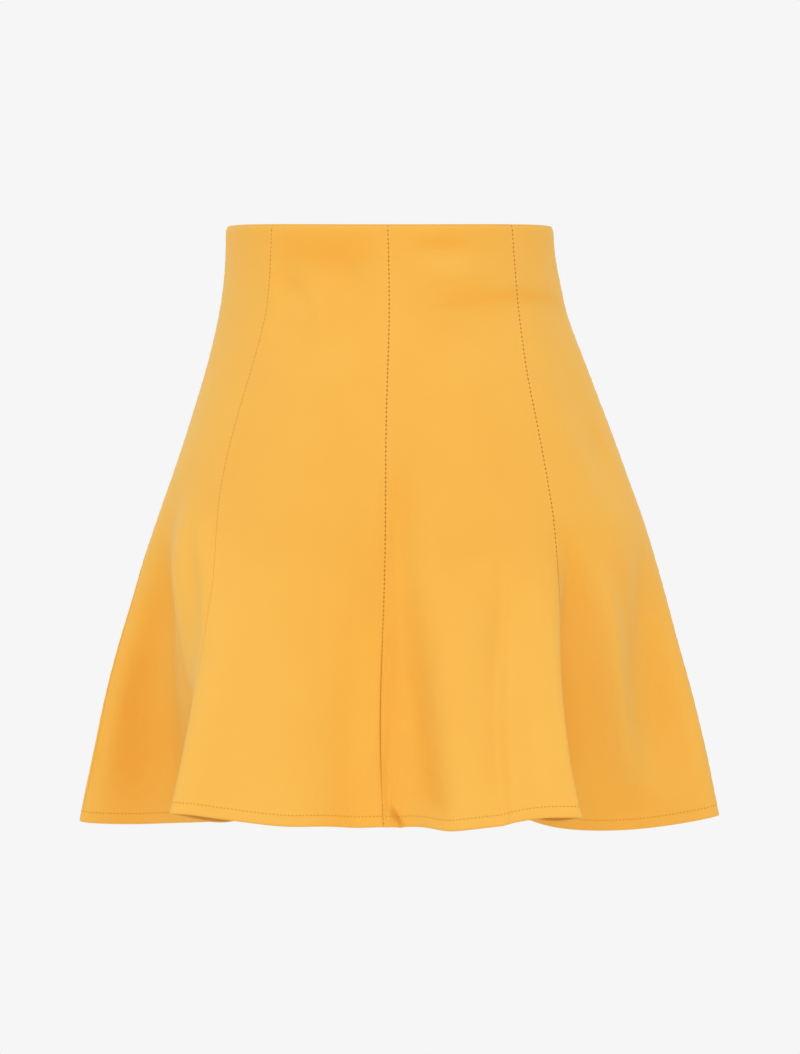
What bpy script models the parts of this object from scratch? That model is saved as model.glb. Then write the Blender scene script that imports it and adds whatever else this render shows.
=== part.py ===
"""A-line skirt of eight gores, standing open as it is worn, with a concealed zip in its centre-back seam.

Frame: metres, +Z up, the front faces -Y, the origin is the middle of the waist opening at the top edge.
Left and right are as seen from the front, so left is -X. Sizes below are in millimetres.

The cloth is one smooth surface, read at g gores round from the centre front (leftwards, 8 gores to a turn) and at
share v of the way from the waist (0) to the hem (1). At each height the surface is an oval, given by SECTIONS.
Below the hips each FOLD pushes it in or out, more and more towards the hem.
"""
import math
from collections import namedtuple

import bmesh
import bpy
import numpy as np

MM = 0.001

LENGTH = 412.0          # waist to hem, straight down
WALL = 1.2              # a gore's cloth
HEM_TURN = 7.3          # depth of the turned-up hem, which is twice as thick
HEM_WALL = 2.3
SEAM = 0.3              # between neighbouring gores, and between layers
WAIST_DIP = 3.2         # how far the front of the waist hangs below its sides
RINGS = 22             # rings between the zip's mouth and the hem

ZIP_TAPE_WIDTH = 12.0
ZIP_TAPE_WALL = 1.0
ZIP_TOP = 5.0           # from the waist edge down to the tapes
ZIP_LENGTH = 190.0
ZIP_MOUTH = 2.4         # gap between the back edges where the slider's neck comes through
ZIP_MOUTH_END = 14.0    # depth at which the mouth starts to close
ZIP_MOUTH_SHUT = 26.0   # depth at which it has closed

SLIDER_BODY = (7.6, 3.0, 11.0)      # width, thickness, length
SLIDER_NECK = 1.2                   # its thickness, across the seam
BAIL_REACH = 2.1                    # outwards from the pull's axis
BAIL_HALF = 3.5                     # up and down from the pull's axis
BAIL_WINDOW = (-0.8, 1.2, 1.5)      # inner and outer side from the axis, half height
PULL_DEPTH = 9.5                    # the pull's axis, below the waist edge
PULL_STAND = 1.7                    # and out from the cloth
PULL_TILT = 6.0                     # degrees by which the pull leans out, along the cloth
PULL_THICK = 1.0
PULL_SLOT = (0.95, 4.6)             # half width, and far end below the axis
PULL_LENGTH = 23.0
PULL_WIDTH = 5.8

# Oval at a height z: half widths to the left and right, depths to the front and back, the turn in degrees from the
# front to each princess seam, and the centre-front seam's place across.
Section = namedtuple("Section", "z left right front back left_seam right_seam front_x")
SECTIONS = [Section(*row) for row in (
    #  z     left   right  front  back  l_seam r_seam front_x
    (0,     114.5, 114.5,  87.0,  87.0, 45.0, 47.5, -1.0),      # waist
    (-30,   115.2, 116.9,  88.0,  90.0, 45.5, 47.6, -0.3),
    (-60,   119.0, 123.4,  92.0,  97.0, 45.2, 46.2, 0.0),
    (-100,  128.6, 138.3,  99.5, 107.0, 47.0, 42.7, -1.0),
    (-150,  144.3, 157.6, 107.5, 117.5, 48.3, 40.8, -2.3),
    (-200,  161.2, 175.7, 113.0, 124.0, 46.6, 39.3, -2.6),      # hips
    (-250,  177.7, 190.6, 119.0, 131.5, 42.0, 38.3, -3.5),
    (-300,  192.3, 203.8, 127.0, 142.0, 40.5, 35.9, -5.0),
    (-350,  204.0, 215.6, 137.0, 155.0, 41.0, 34.5, -5.5),
    (-412,  215.6, 228.2, 150.0, 173.0, 42.0, 34.2, -3.0),      # hem
)]

# Crests and valleys: at, in gores round from the centre front; across and along, how far the hem moves there in X and
# in Y; hem, its height; start, the height at which the fold begins; power, how it grows from there.
Fold = namedtuple("Fold", "name at across along hem start power")
FOLDS = [Fold(*row) for row in (
    ("front_seam",         0.00,   0,   3, -410, -215, 1.5),
    ("front_left_round",   0.36,   0, -12, -411, -215, 1.5),
    ("front_left_edge",    0.73,  -2, -32, -407, -215, 1.5),
    ("left_crest",         1.00,   0, -45, -402, -225, 1.4),
    ("left_crest_back",    1.12,  31, -36, -404, -225, 1.4),
    ("left_valley",        1.40,  84, -10, -411, -225, 1.4),
    ("left_flank",         1.72,  48,  12, -416, -215, 1.3),
    ("left_side",          2.00,   0, -13, -414, -215, 1.3),
    ("left_side_back",     2.20,  10,   4, -414, -215, 1.3),
    ("back_left_valley",   2.58,  44, -14, -413, -225, 1.4),
    ("back_left_crest",    3.00,  -6,  32, -408, -225, 1.4),
    ("back_left_round",    3.45,   5,  -2, -413, -225, 1.4),
    ("back_left_rise",     3.76,   0,  12, -412, -235, 1.5),
    ("back_seam",          4.00,   0,  -9, -413, -215, 1.5),
    ("back_right_rise",    4.30,   0,  10, -411, -225, 1.4),
    ("back_right_round",   4.62,  -4,  -4, -413, -225, 1.4),
    ("back_right_crest",   5.00,   6,  30, -408, -225, 1.4),
    ("back_right_valley",  5.42, -46, -14, -413, -225, 1.4),
    ("right_side_back",    5.80, -10,   2, -413, -215, 1.3),
    ("right_side",         6.00,   0, -18, -411, -215, 1.3),
    ("right_flank",        6.28, -52,   6, -418, -215, 1.3),
    ("right_valley",       6.60, -94,  -6, -412, -225, 1.4),
    ("right_crest_back",   6.88, -36, -28, -406, -225, 1.4),
    ("right_crest",        7.00,   0, -34, -404, -225, 1.4),
    ("front_right_edge",   7.20,   0, -28, -406, -225, 1.5),
    ("front_right_dip",    7.45,   0, -15, -409, -260, 1.5),
    ("front_right_round",  7.64,   0, -13, -413, -225, 1.5),
    ("front_right_trough", 7.83,   0,   0, -411, -235, 1.4),
)]

GORES = ("front_centre_left", "front_side_left", "back_side_left", "back_centre_left",
         "back_centre_right", "back_side_right", "front_side_right", "front_centre_right")
BACK_SEAM = 4
# Where a gore's strips meet, as shares of its width, counted from the seam nearer the front; closest at the crests.
STRIPS = (0.0, 0.07, 0.18, 0.32, 0.46, 0.60, 0.74, 0.88, 1.0)

CLOTH = (0.915, 0.455, 0.075)
TAPE = (0.84, 0.41, 0.07)
LACQUER = (0.80, 0.38, 0.05)


# ---------------------------------------------------------------- the surface

def spline(knots, values, at):
    """A natural cubic spline through the knots, read at `at`."""
    order = np.argsort(knots)
    x, y = np.asarray(knots, float)[order], np.asarray(values, float)[order]
    at = np.asarray(at, float)
    h, n = np.diff(x), len(x)
    a, b = np.zeros((n, n)), np.zeros(n)
    a[0, 0] = a[-1, -1] = 1
    for i in range(1, n - 1):
        a[i, i - 1:i + 2] = h[i - 1], 2 * (h[i - 1] + h[i]), h[i]
        b[i] = 6 * ((y[i + 1] - y[i]) / h[i] - (y[i] - y[i - 1]) / h[i - 1])
    m = np.linalg.solve(a, b)
    i = np.clip(np.searchsorted(x, at) - 1, 0, n - 2)
    after, before, step = at - x[i], x[i + 1] - at, h[i]
    return ((m[i] * before ** 3 + m[i + 1] * after ** 3) / (6 * step)
            + (y[i] / step - m[i] * step / 6) * before + (y[i + 1] / step - m[i + 1] * step / 6) * after)


def round_spline(knots, values, at, turn=8.0, lap=6):
    """The same round a closed ring, with its last and first knots repeated past its ends."""
    knots, values = np.asarray(knots, float), np.asarray(values, float)
    return spline(np.concatenate([knots[-lap:] - turn, knots, knots[:lap] + turn]),
                  np.concatenate([values[-lap:], values, values[:lap]]), np.mod(at, turn))


def section(z):
    """The oval at height z."""
    heights = [s.z for s in SECTIONS]
    return Section(z, *(float(spline(heights, [getattr(s, f) for s in SECTIONS], z)) for f in Section._fields[1:]))


def turn_of(g, s):
    """Degrees round the oval s, from the front leftwards, at g gores."""
    front = -math.degrees(math.asin(s.front_x / (s.left + s.right) * 2))
    seams = (front, s.left_seam, 90, 135, 180, 225, 270, 360 - s.right_seam)
    return spline(range(-3, 12), [seams[k % 8] + 360 * (k // 8) for k in range(-3, 12)], g)


def ring(g, v):
    """Points of the surface at g gores (an array) and at share v of the length."""
    g = np.mod(np.asarray(g, float), 8.0)
    z = -LENGTH * v
    s = section(z)
    t = np.radians(turn_of(g, s))
    grown = np.array([np.clip((f.start - z) / (f.start + LENGTH), 0, 1) ** f.power for f in FOLDS])
    at = [f.at for f in FOLDS]
    x = -np.where(np.sin(t) > 0, s.left, s.right) * np.sin(t) + round_spline(at, grown * [f.across for f in FOLDS], g)
    y = -np.where(np.cos(t) > 0, s.front, s.back) * np.cos(t) + round_spline(at, grown * [f.along for f in FOLDS], g)
    waist = -WAIST_DIP * np.clip(np.cos(t), 0, 1) ** 2
    hem = round_spline(at, [f.hem for f in FOLDS], g)
    return np.stack([x, y, waist * (1 - v) + hem * v], -1)


def frame_at(g, v, step=1e-3):
    """Points, width of a gore there (mm to one gore) and outward normals, at g gores and share v."""
    across = (ring(g + step, v) - ring(g - step, v)) / (2 * step)
    down = ring(g, v + step) - ring(g, v - step)
    normal = np.cross(across, down)
    return ring(g, v), np.linalg.norm(across, axis=1), normal / np.linalg.norm(normal, axis=1)[:, None]


# ---------------------------------------------------------------- the gores

def shares_down():
    """Shares of the length at which a wall has a ring."""
    mouth = [0.0, ZIP_TOP, ZIP_MOUTH_END]
    even = np.linspace(ZIP_MOUTH_SHUT, LENGTH - HEM_TURN - 1.5, RINGS)
    return [d / LENGTH for d in mouth + list(even) + [LENGTH - HEM_TURN, LENGTH]]


def half_gap(seam, depth):
    """Half of the gap at a seam: more at the zip's mouth."""
    if seam % 8 != BACK_SEAM:
        return SEAM / 2
    open_part = np.clip((ZIP_MOUTH_SHUT - depth) / (ZIP_MOUTH_SHUT - ZIP_MOUTH_END), 0, 1)
    return (SEAM + (ZIP_MOUTH - SEAM) * open_part) / 2


def gore_ring(k, v):
    """Points and normals across gore k at share v: its two edges stand back from the seams by half of the gap."""
    shares = np.array(STRIPS if k < 4 else [1 - s for s in reversed(STRIPS)])
    g = k + shares
    _, width, seam_normal = frame_at(np.array([float(k), k + 1.0]), v)
    g[0] += half_gap(k, v * LENGTH) / width[0]
    g[-1] -= half_gap(k + 1, v * LENGTH) / width[1]
    if k + 1 == BACK_SEAM:
        g[-2] = k + 1 - ZIP_TAPE_WIDTH / width[1]
    if k == BACK_SEAM:
        g[1] = k + ZIP_TAPE_WIDTH / width[0]
    points, _, normals = frame_at(g, v)
    normals[0], normals[-1] = seam_normal
    return points, normals


def wall_at(v):
    """Thickness of the cloth at share v."""
    return HEM_WALL if v * LENGTH > LENGTH - HEM_TURN - 0.1 else WALL


def wall(name, rings, material):
    """A closed wall from rings of (outer points, inner points)."""
    columns = len(rings[0][0])
    verts = [tuple(p * MM) for outer, inner in rings for p in list(outer) + list(inner)]
    rows = len(rings)

    def out(j, i):
        return j * 2 * columns + i

    def inn(j, i):
        return out(j, i) + columns

    faces = []
    for j in range(rows - 1):
        for i in range(columns - 1):
            faces.append((out(j, i), out(j, i + 1), out(j + 1, i + 1), out(j + 1, i)))
            faces.append((inn(j, i), inn(j + 1, i), inn(j + 1, i + 1), inn(j, i + 1)))
        faces.append((out(j, 0), out(j + 1, 0), inn(j + 1, 0), inn(j, 0)))
        last = columns - 1
        faces.append((out(j, last), inn(j, last), inn(j + 1, last), out(j + 1, last)))
    for i in range(columns - 1):
        faces.append((out(0, i), inn(0, i), inn(0, i + 1), out(0, i + 1)))
        bottom = rows - 1
        faces.append((out(bottom, i), out(bottom, i + 1), inn(bottom, i + 1), inn(bottom, i)))
    mesh = bpy.data.meshes.new(name)
    mesh.from_pydata(verts, [], faces)
    return add(name, mesh, material)


def gore(k, material):
    rings = []
    for v in shares_down():
        points, normals = gore_ring(k, v)
        rings.append((points, points - normals * wall_at(v)))
    return wall(GORES[k], rings, material)


def zip_tape(name, k, material):
    """One tape of the zip, inside gore k beside the back seam: the gore's own points there, moved in."""
    rings = []
    for v in shares_down():
        if ZIP_TOP - 0.1 < v * LENGTH < ZIP_LENGTH:
            points, normals = gore_ring(k, v)
            pair = slice(-2, None) if k < BACK_SEAM else slice(0, 2)
            points, normals = points[pair], normals[pair]
            rings.append((points - normals * (WALL + SEAM), points - normals * (WALL + SEAM + ZIP_TAPE_WALL)))
    return wall(name, rings, material)


# ---------------------------------------------------------------- the zip's slider and pull

def slab(name, points, cells, thickness, material=None):
    """A flat plate: cells of 2-D points (across, up), given its thickness about the plane. Holes are missing cells."""
    n = len(points)
    verts = [(x, side * thickness / 2, z) for side in (-1, 1) for x, z in points]
    edges = {}
    for cell in cells:
        for a, b in zip(cell, cell[1:] + cell[:1]):
            edges[(a, b)] = True
    faces = [tuple(cell) for cell in cells] + [tuple(i + n for i in reversed(cell)) for cell in cells]
    faces += [(b, a, a + n, b + n) for a, b in edges if (b, a) not in edges]
    mesh = bpy.data.meshes.new(name)
    mesh.from_pydata([tuple(c * MM for c in v) for v in verts], [], faces)
    bm = bmesh.new()
    bm.from_mesh(mesh)
    bmesh.ops.remove_doubles(bm, verts=bm.verts[:], dist=1e-6)
    bmesh.ops.recalc_face_normals(bm, faces=bm.faces[:])
    bm.to_mesh(mesh)
    bm.free()
    return add(name, mesh, material)


def pull_half_width(depth):
    """Half width of the pull at a depth below its axis: a slim eye that swells to a drop with a round end."""
    eye, belly = 2.0, PULL_WIDTH / 2
    middle = PULL_LENGTH - belly
    if depth <= PULL_SLOT[1] + 1:
        return eye
    if depth <= middle:
        s = (depth - PULL_SLOT[1] - 1) / (middle - PULL_SLOT[1] - 1)
        return eye + (belly - eye) * (0.5 - 0.5 * math.cos(math.pi * s))
    return math.sqrt(max(belly ** 2 - (depth - middle) ** 2, 0.0))


def zip_pull(material):
    slot, far = PULL_SLOT
    belly = PULL_WIDTH / 2
    depths = [-PULL_THICK / 2, PULL_THICK / 2, far]
    depths += list(np.linspace(far + 1, PULL_LENGTH - belly, 8))
    depths += [PULL_LENGTH - belly * (1 - math.sin(a)) for a in np.linspace(0, math.pi / 2, 6)[1:-1]]
    points, cells = [], []
    for depth in depths:
        half = pull_half_width(depth)
        points += [(-half, -depth), (-min(slot, half * 0.5), -depth), (min(slot, half * 0.5), -depth), (half, -depth)]
    for j in range(len(depths) - 1):
        for i in range(3):
            if j == 1 and i == 1:
                continue                                            # the eye, round the bail
            cells.append([4 * j + i, 4 * j + i + 1, 4 * j + i + 5, 4 * j + i + 4])
    tip = len(points)
    points.append((0.0, -PULL_LENGTH))
    base = 4 * (len(depths) - 1)
    cells += [[base + i, base + i + 1, tip] for i in range(3)]
    return slab("zip_pull", points, cells, PULL_THICK, material)


def zip_slider(material):
    """The slider's body behind the tapes, joined to the bail that stands out through the seam."""
    width, thick, length = SLIDER_BODY
    front = -(PULL_STAND + WALL + SEAM + ZIP_TAPE_WALL + SEAM) - 1.0        # of the body, from the pull's axis
    middle = front - thick / 2
    half, waist = width / 2, width / 2 * 0.72
    levels = ((length / 2, waist), (length / 2 - 2, half), (-length / 2 + 3, half), (-length / 2, waist))
    points = [(side * w, z) for z, w in levels for side in (-1, 1)]
    cells = [[2 * j, 2 * j + 1, 2 * j + 3, 2 * j + 2] for j in range(len(levels) - 1)]
    body = slab("zip_slider", points, cells, thick, material)
    body.location.y += middle * MM

    near, window_far, window_half = BAIL_WINDOW
    depths = (middle, near, window_far, BAIL_REACH)
    points = []
    for i, y in enumerate(depths):
        reach = BAIL_HALF - (0.9 if i == 3 else 0)
        points += [(y, reach), (y, window_half), (y, -window_half), (y, -reach)]
    cells = []
    for i in range(3):
        for j in range(3):
            if (i, j) != (1, 1):
                cells.append([4 * i + j, 4 * i + j + 1, 4 * i + j + 5, 4 * i + j + 4])
    bail = slab("bail", points, cells, SLIDER_NECK)
    bail.rotation_euler.z = math.radians(90)
    bail.hide_render = True
    bail.display_type = "WIRE"
    join = body.modifiers.new("Bail", "BOOLEAN")
    join.operation = "UNION"
    join.object = bail
    return body, bail


# ---------------------------------------------------------------- the build

def add(name, mesh, material):
    if material:
        mesh.materials.append(material)
    obj = bpy.data.objects.new(name, mesh)
    bpy.context.scene.collection.objects.link(obj)
    return obj


def finish(name, colour, roughness, metallic=0.0):
    material = bpy.data.materials.new(name)
    material.use_nodes = True
    shader = material.node_tree.nodes["Principled BSDF"]
    shader.inputs["Base Color"].default_value = (*colour, 1.0)
    shader.inputs["Roughness"].default_value = roughness
    shader.inputs["Metallic"].default_value = metallic
    return material


def main():
    for obj in list(bpy.data.objects):
        bpy.data.objects.remove(obj)

    skirt = bpy.data.objects.new("skirt", None)
    bpy.context.scene.collection.objects.link(skirt)
    for k, name in enumerate(GORES):
        piece = gore(k, finish(name, CLOTH, 0.8))
        piece.data.shade_smooth()
        piece.data.set_sharp_from_angle(angle=math.radians(40))
        piece.parent = skirt
    for name, k in (("zip_tape_left", BACK_SEAM - 1), ("zip_tape_right", BACK_SEAM)):
        zip_tape(name, k, finish(name, TAPE, 0.85)).parent = skirt

    # The pull's axis runs across the back seam, just outside the cloth.
    top = ring(np.array([float(BACK_SEAM)]), PULL_DEPTH / LENGTH)[0]
    axis = bpy.data.objects.new("pull_axis", None)
    bpy.context.scene.collection.objects.link(axis)
    axis.parent = skirt
    axis.location = (0.0, (top[1] + PULL_STAND) * MM, top[2] * MM)
    body, bail = zip_slider(finish("zip_slider", LACQUER, 0.4, 0.3))
    body.parent = axis
    bail.parent = axis
    pull = zip_pull(finish("zip_pull", LACQUER, 0.4, 0.3))
    pull.parent = axis
    pull.rotation_euler.x = math.radians(PULL_TILT)


main()
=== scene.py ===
"""The looks of the a-line skirt: each gore as a thin shell of cloth with its turned edges, creases, seams and stitching,
and the zip in the back seam. Sizes are in millimetres until a mesh is made; the frame is the CAD model's."""
import math
from collections import namedtuple

import bmesh
import bpy
import numpy as np
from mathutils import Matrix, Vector


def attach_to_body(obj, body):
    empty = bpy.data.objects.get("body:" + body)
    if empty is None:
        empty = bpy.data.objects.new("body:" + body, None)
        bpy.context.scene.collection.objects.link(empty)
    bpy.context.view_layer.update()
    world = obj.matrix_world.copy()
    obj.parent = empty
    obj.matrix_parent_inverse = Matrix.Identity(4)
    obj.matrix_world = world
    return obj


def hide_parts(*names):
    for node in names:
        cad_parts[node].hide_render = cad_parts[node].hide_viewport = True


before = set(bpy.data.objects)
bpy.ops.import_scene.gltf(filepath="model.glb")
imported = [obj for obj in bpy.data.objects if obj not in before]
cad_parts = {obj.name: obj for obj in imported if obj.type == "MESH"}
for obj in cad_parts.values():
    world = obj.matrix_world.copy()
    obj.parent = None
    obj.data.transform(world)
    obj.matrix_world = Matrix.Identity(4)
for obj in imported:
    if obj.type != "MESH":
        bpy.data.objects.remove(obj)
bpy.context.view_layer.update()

MM = 0.001
BODY, PULL_BODY = "skirt", "pull"

# ------------------------------------------------------------------ sizes, as the CAD model has them
LENGTH = 412.0
HEM_TURN = 7.3
WAIST_TURN = 16.0
WAIST_DIP = 3.2
HEM_FOLD = 9.4              # depth of the turned-up layer, a little past its stitching
CLOTH = 0.9                 # thickness of the cloth
LAYER = 0.12                # air between two layers
SEAM_HALF = 0.03
ROLL = 0.28                 # radius with which a gore's edge turns into its seam
ALLOWANCE = 12.0            # seam allowances inside, pressed open
ALLOWANCE_GAP, ALLOWANCE_THICK = 0.22, 0.75
STITCH = 3.0                # a seam's stitch
HEM_STITCH = 2.55
ZIP_TOP, ZIP_LENGTH, ZIP_TAPE_WIDTH = 5.0, 190.0, 12.0
ZIP_MOUTH, ZIP_MOUTH_END, ZIP_MOUTH_SHUT = 2.4, 14.0, 26.0
PULL_DEPTH, PULL_STAND, PULL_TILT = 9.5, 1.7, 6.0
BACK_SEAM = 4

Section = namedtuple("Section", "z left right front back left_seam right_seam front_x")
SECTIONS = [Section(*row) for row in (
    (0,     114.5, 114.5,  87.0,  87.0, 45.0, 47.5, -1.0),
    (-30,   115.2, 116.9,  88.0,  90.0, 45.5, 47.6, -0.3),
    (-60,   119.0, 123.4,  92.0,  97.0, 45.2, 46.2, 0.0),
    (-100,  128.6, 138.3,  99.5, 107.0, 47.0, 42.7, -1.0),
    (-150,  144.3, 157.6, 107.5, 117.5, 48.3, 40.8, -2.3),
    (-200,  161.2, 175.7, 113.0, 124.0, 46.6, 39.3, -2.6),
    (-250,  177.7, 190.6, 119.0, 131.5, 42.0, 38.3, -3.5),
    (-300,  192.3, 203.8, 127.0, 142.0, 40.5, 35.9, -5.0),
    (-350,  204.0, 215.6, 137.0, 155.0, 41.0, 34.5, -5.5),
    (-412,  215.6, 228.2, 150.0, 173.0, 42.0, 34.2, -3.0),
)]

Fold = namedtuple("Fold", "name at across along hem start power")
FOLDS = [Fold(*row) for row in (
    ("front_seam",         0.00,   0,   3, -410, -215, 1.5),
    ("front_left_round",   0.36,   0, -12, -411, -215, 1.5),
    ("front_left_edge",    0.73,  -2, -32, -407, -215, 1.5),
    ("left_crest",         1.00,   0, -45, -402, -225, 1.4),
    ("left_crest_back",    1.12,  31, -36, -404, -225, 1.4),
    ("left_valley",        1.40,  84, -10, -411, -225, 1.4),
    ("left_flank",         1.72,  48,  12, -416, -215, 1.3),
    ("left_side",          2.00,   0, -13, -414, -215, 1.3),
    ("left_side_back",     2.20,  10,   4, -414, -215, 1.3),
    ("back_left_valley",   2.58,  44, -14, -413, -225, 1.4),
    ("back_left_crest",    3.00,  -6,  32, -408, -225, 1.4),
    ("back_left_round",    3.45,   5,  -2, -413, -225, 1.4),
    ("back_left_rise",     3.76,   0,  12, -412, -235, 1.5),
    ("back_seam",          4.00,   0,  -9, -413, -215, 1.5),
    ("back_right_rise",    4.30,   0,  10, -411, -225, 1.4),
    ("back_right_round",   4.62,  -4,  -4, -413, -225, 1.4),
    ("back_right_crest",   5.00,   6,  30, -408, -225, 1.4),
    ("back_right_valley",  5.42, -46, -14, -413, -225, 1.4),
    ("right_side_back",    5.80, -10,   2, -413, -215, 1.3),
    ("right_side",         6.00,   0, -18, -411, -215, 1.3),
    ("right_flank",        6.28, -52,   6, -418, -215, 1.3),
    ("right_valley",       6.60, -94,  -6, -412, -225, 1.4),
    ("right_crest_back",   6.88, -36, -28, -406, -225, 1.4),
    ("right_crest",        7.00,   0, -34, -404, -225, 1.4),
    ("front_right_edge",   7.20,   0, -28, -406, -225, 1.5),
    ("front_right_dip",    7.45,   0, -15, -409, -260, 1.5),
    ("front_right_round",  7.64,   0, -13, -413, -225, 1.5),
    ("front_right_trough", 7.83,   0,   0, -411, -235, 1.4),
)]

# Smaller creases, laid on that form. way: down or across. from_g, from_d to to_g, to_d: its run, in gores round and mm
# below the waist; bow, how far its middle strays (gores, or mm if across); width, of half of it; spread, how much wider
# it is at its end; deep, mm inwards (a ridge is negative); lean, which flank is the steeper (-1 to 1);
# rise and fall: the shares of its run over which it grows and fades; fall is 0 where it runs out through the hem.
Crease = namedtuple("Crease", "name way from_g from_d to_g to_d bow width spread deep lean rise fall")
CREASES = [Crease(*row) for row in (
    ("left_trough",          "down",   1.63, 160, 1.71, 430,  0.02, 24, 1.15, 19.0, 0.00, 0.44, 0.26),
    ("left_streak",          "down",   1.38, 180, 1.24, 370, -0.02, 13, 1.1, -5.5, -0.40, 0.40, 0.40),
    ("left_streak_2",        "down",   1.14, 200, 0.99, 315,  0.00,  8, 1.1, -3.0, -0.40, 0.35, 0.40),
    ("left_edge_rise",       "down",   1.87, 163, 1.93, 405,  0.00, 15, 1.0, -4.2,  0.00, 0.32, 0.40),
    ("front_seam_sink",      "down",   0.06, 195, 0.08, 412,  0.00, 14, 1.2,  5.5,  0.00, 0.45, 0.00),
    ("front_left_shade",     "down",   0.24, 185, 0.16, 412,  0.00, 22, 1.0,  7.5,  0.30, 0.45, 0.00),
    ("front_left_lobe",      "down",   0.86, 240, 0.86, 412,  0.00, 16, 1.0, -2.5,  0.00, 0.40, 0.00),
    ("front_right_shade",    "down",   7.93, 155, 7.90, 412,  0.00, 13, 1.0,  9.0,  0.00, 0.35, 0.00),
    ("front_right_valley",   "down",   7.86, 240, 7.765, 425, 0.00, 14, 1.1,  9.0, -0.10, 0.40, 0.20),
    ("front_right_rise",     "down",   7.53, 225, 7.50, 412,  0.00, 20, 1.2, -4.0,  0.00, 0.45, 0.00),
    ("front_right_line",     "down",   7.345, 205, 7.352, 412, 0.00, 6, 1.0,  2.4,  0.2, 0.45, 0.00),
    ("front_right_dent",   "across", 7.36, 230, 7.58, 232,  0.00,  9, 1.0,  0.7,  0.0, 0.45, 0.45),
    ("front_right_lobe",     "down",   7.20, 270, 7.18, 412,  0.00, 14, 1.0, -2.5,  0.00, 0.45, 0.00),
    ("right_trough",         "down",   6.88, 195, 6.56, 430,  0.00, 24, 1.3, 16.0,  0.00, 0.42, 0.30),
    ("right_streak",         "down",   6.86, 215, 6.27, 402, -0.09, 12, 1.3, -7.0,  0.00, 0.35, 0.24),
    ("right_trough_2",       "down",   6.34, 190, 6.18, 400,  0.00, 17, 1.2,  7.0,  0.00, 0.45, 0.35),
    ("right_trough_3",       "down",   6.99, 205, 6.62, 380,  0.00, 10, 1.5,  6.0,  0.00, 0.32, 0.35),
    ("right_edge_rise",      "down",   6.02, 225, 6.02, 412,  0.00, 16, 1.0, -2.6,  0.00, 0.80, 0.00),
    ("right_hip_spot",       "down",   6.44, 135, 6.40, 175,  0.00,  9, 1.0,  1.4,  0.0, 0.45, 0.45),
    ("waist_left_band",      "across", 1.05,  28, 0.02,  30,  1.00, 21, 1.0,  3.4,  0.30, 0.30, 0.30),
    ("waist_left_slant",     "across", 0.98,  37, 0.50,  66,  0.00, 19, 1.0,  2.8,  0.60, 0.35, 0.40),
    ("right_hip_hollow",     "down",   6.56,  70, 6.48, 215,  0.00, 22, 1.0,  3.4,  0.00, 0.40, 0.40),
    ("waist_left_run",       "down",   0.40,   8, 0.30, 110,  0.00, 20, 1.0,  3.0,  0.00, 0.30, 0.45),
    ("waist_left_spot",      "down",   0.68,  40, 0.66,  80,  0.00, 13, 1.0, -1.6,  0.0, 0.45, 0.45),
    ("waist_right_line",     "across", 7.99,  67, 5.80,  64, -8.00, 22, 1.0,  3.4,  0.80, 0.28, 0.45),
    ("waist_right_band",     "across", 7.93,  20, 7.30,  17,  0.00,  8, 1.0,  2.0,  0.0, 0.45, 0.45),
    ("waist_right_rise",     "across", 7.95,  36, 7.05,  34,  0.00,  9, 1.0, -1.4,  0.0, 0.45, 0.45),
    ("right_waist_edge",     "down",   6.02,  10, 6.02, 125,  0.00, 20, 1.0, -1.0,  0.00, 0.30, 0.45),
    ("hem_front_fold",       "down",   7.975, 325, 7.945, 412, 0.00, 6, 1.0,  2.6,  0.00, 0.60, 0.00),
    ("hem_front_nick",       "down",   7.965, 397, 7.920, 412, 0.00, 1.7, 1.0, 3.6,  0.30, 0.45, 0.00),
    ("side_left_fold",     "down",   2.10, 230, 2.16, 412,  0.00, 13, 1.2,  2.6,  0.0, 0.45, 0.00),
    ("back_left_trough",   "down",   2.62, 205, 2.55, 412,  0.02, 18, 1.4,  5.0,  0.0, 0.45, 0.00),
    ("back_left_streak",   "down",   2.84, 215, 2.82, 360,  0.00,  9, 1.2, -2.6,  0.5, 0.45, 0.45),
    ("back_left_shade",    "down",   3.42, 215, 3.50, 412,  0.00, 14, 1.2,  2.6,  0.0, 0.45, 0.00),
    ("back_left_line",     "down",   3.72, 255, 3.70, 405,  0.00,  7, 1.0,  1.6,  0.0, 0.45, 0.45),
    ("back_seam_sink",     "down",   4.00, 205, 4.00, 412,  0.00, 14, 1.0,  2.0,  0.0, 0.45, 0.00),
    ("back_right_shade",   "down",   4.30, 225, 4.40, 412,  0.00, 13, 1.3,  2.8,  0.0, 0.45, 0.00),
    ("back_right_rise",    "down",   4.66, 235, 4.68, 412,  0.00, 15, 1.0, -2.2,  0.0, 0.45, 0.00),
    ("back_right_streak",  "down",   5.20, 215, 5.16, 350,  0.00,  9, 1.2, -2.6, -0.5, 0.45, 0.45),
    ("back_right_trough",  "down",   5.36, 205, 5.44, 412,  0.02, 18, 1.4,  5.0,  0.0, 0.45, 0.00),
    ("side_right_fold",    "down",   5.88, 230, 5.92, 412,  0.00, 13, 1.2,  2.4,  0.0, 0.45, 0.00),
    ("waist_back_left",    "across", 2.60,  48, 3.96,  58,  3.00,  6, 1.1,  1.2,  0.3, 0.45, 0.45),
    ("waist_back_right",   "across", 5.60,  44, 4.06,  52, -3.00,  6, 1.1,  1.2,  0.3, 0.45, 0.45),
)]

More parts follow.
